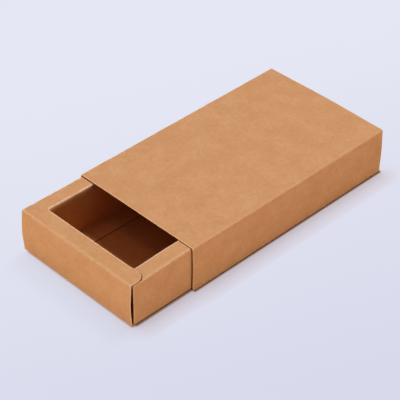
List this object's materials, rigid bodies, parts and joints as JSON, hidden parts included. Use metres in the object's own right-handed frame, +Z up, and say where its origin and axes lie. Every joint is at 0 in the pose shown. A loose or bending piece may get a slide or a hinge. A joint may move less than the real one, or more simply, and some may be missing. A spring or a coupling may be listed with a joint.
{
  "type": "sliding drawer gift box",
  "caption": "Flat rectangular kraft card gift box: an open-ended sleeve with a framed, double-walled tray that slides through it, shown pulled partly out.",
  "frame": {"origin": "middle of the sleeve's underside, on the surface that the box stands on", "axes": "+Z up, the length and the slide along Y with the tray pulled out towards -Y, the width along X"},
  "size_m": [0.09, 0.1975, 0.03],
  "materials": {
    "kraft_card": "matte",
    "dried_glue": "satin"
  },
  "bodies": {
    "sleeve": {"sleeve_bottom_panel": "kraft_card", "sleeve_glue_flap": "kraft_card", "sleeve_glue_line": "dried_glue", "sleeve_left_wall": "kraft_card", "sleeve_right_wall": "kraft_card", "sleeve_top_panel": "kraft_card"},
    "tray": {"tray_back_floor_flap": "kraft_card", "tray_back_inner_wall": "kraft_card", "tray_back_left_corner_flap": "kraft_card", "tray_back_outer_wall": "kraft_card", "tray_back_right_corner_flap": "kraft_card", "tray_back_rim": "kraft_card", "tray_base": "kraft_card", "tray_front_floor_flap": "kraft_card", "tray_front_inner_wall": "kraft_card", "tray_front_left_corner_flap": "kraft_card", "tray_front_outer_wall": "kraft_card", "tray_front_right_corner_flap": "kraft_card", "tray_front_rim": "kraft_card", "tray_left_floor_flap": "kraft_card", "tray_left_inner_wall": "kraft_card", "tray_left_outer_wall": "kraft_card", "tray_left_rim": "kraft_card", "tray_right_floor_flap": "kraft_card", "tray_right_inner_wall": "kraft_card", "tray_right_outer_wall": "kraft_card", "tray_right_rim": "kraft_card"}
  },
  "joints": [
    {"name": "tray_slide", "type": "slide", "parent": "sleeve", "child": "tray", "axis": [0, -1, 0], "range_m": [-0.1845, 0.0969]}
  ]
}
